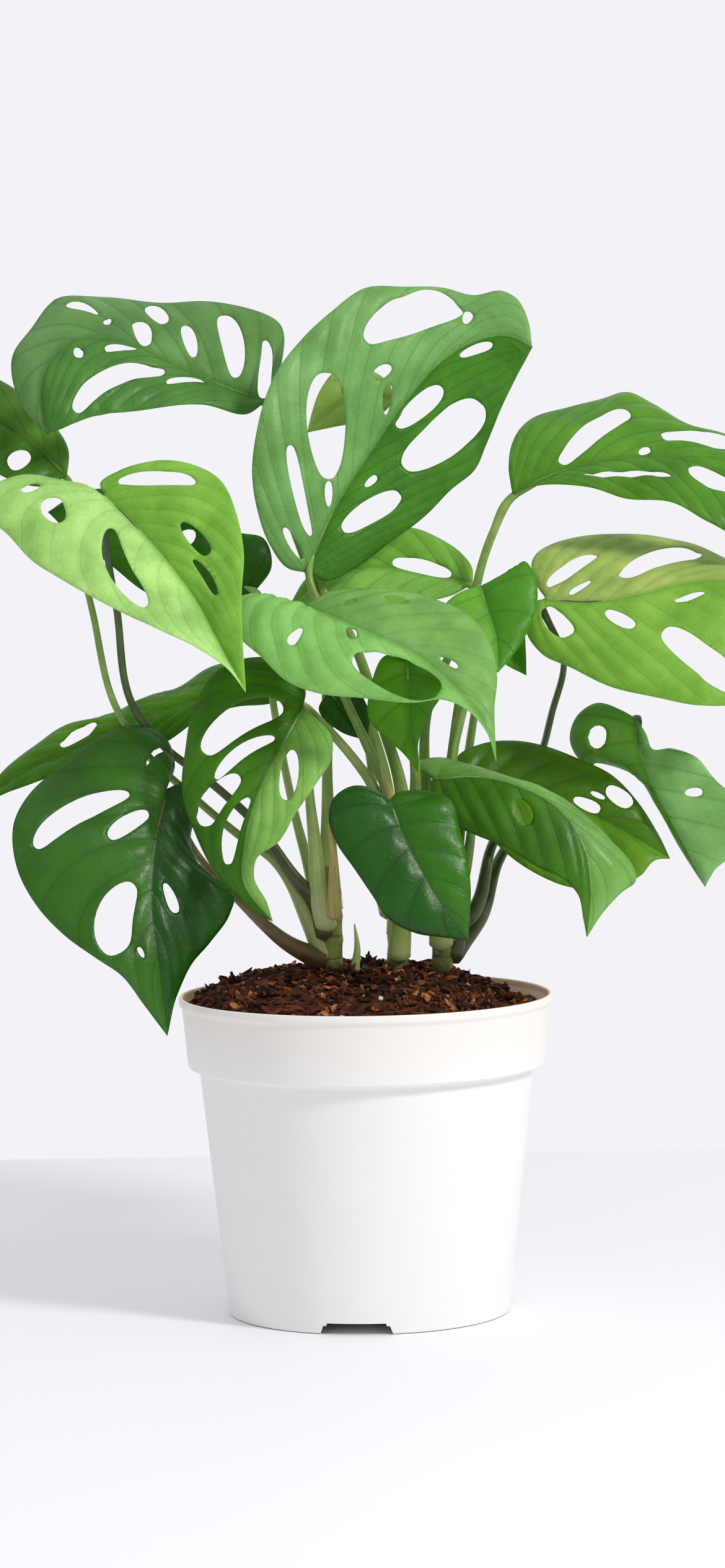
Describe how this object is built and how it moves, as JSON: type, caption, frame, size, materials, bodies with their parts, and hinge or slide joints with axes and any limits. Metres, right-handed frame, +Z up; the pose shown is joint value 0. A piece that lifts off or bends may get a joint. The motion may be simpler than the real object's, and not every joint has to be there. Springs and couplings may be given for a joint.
{
  "type": "potted plant",
  "caption": "Potted climbing monstera with perforated heart-shaped leaves on thin stalks, rooted in coir soil in a round tapered nursery pot.",
  "frame": {"origin": "centre of the pot's foot, on the surface that the pot stands on", "axes": "+Z up, +X to the right of a viewer facing the plant's front, +Y to the back"},
  "size_m": [0.3609, 0.15, 0.4114],
  "materials": {
    "pot": "matte",
    "soil": "rough coir chips",
    "stem": "satin",
    "stalk": "satin",
    "sheath": "dry",
    "leaf": "waxy"
  },
  "bodies": {
    "root": {"bud_left": "stalk", "leaf_arching": "leaf", "leaf_centre": "leaf", "leaf_curled_right": "leaf", "leaf_far_left": "leaf", "leaf_fingered": "leaf", "leaf_heart": "leaf", "leaf_inner_right": "leaf", "leaf_inner_tip": "leaf", "leaf_left_back": "leaf", "leaf_left_dark": "leaf", "leaf_left_light": "leaf", "leaf_low_left": "leaf", "leaf_low_right": "leaf", "leaf_low_right_back": "leaf", "leaf_right_light": "leaf", "leaf_small_inner": "leaf", "leaf_top_behind": "leaf", "leaf_top_centre": "leaf", "leaf_top_left": "leaf", "leaf_top_right": "leaf", "leaf_under_centre": "leaf", "pot": "pot", "sheath_centre": "sheath", "sheath_left": "sheath", "soil": "soil", "stalk_arching": "stalk", "stalk_centre": "stalk", "stalk_curled_right": "stalk", "stalk_far_left": "stalk", "stalk_fingered": "stalk", "stalk_heart": "stalk", "stalk_inner_right": "stalk", "stalk_inner_tip": "stalk", "stalk_left_back": "stalk", "stalk_left_dark": "stalk", "stalk_left_light": "stalk", "stalk_low_left": "stalk", "stalk_low_right": "stalk", "stalk_low_right_back": "stalk", "stalk_right_light": "stalk", "stalk_small_inner": "stalk", "stalk_top_behind": "stalk", "stalk_top_centre": "stalk", "stalk_top_left": "stalk", "stalk_top_right": "stalk", "stalk_under_centre": "stalk", "stem_centre": "stem", "stem_left": "stem", "stem_right": "stem"}
  },
  "joints": []
}
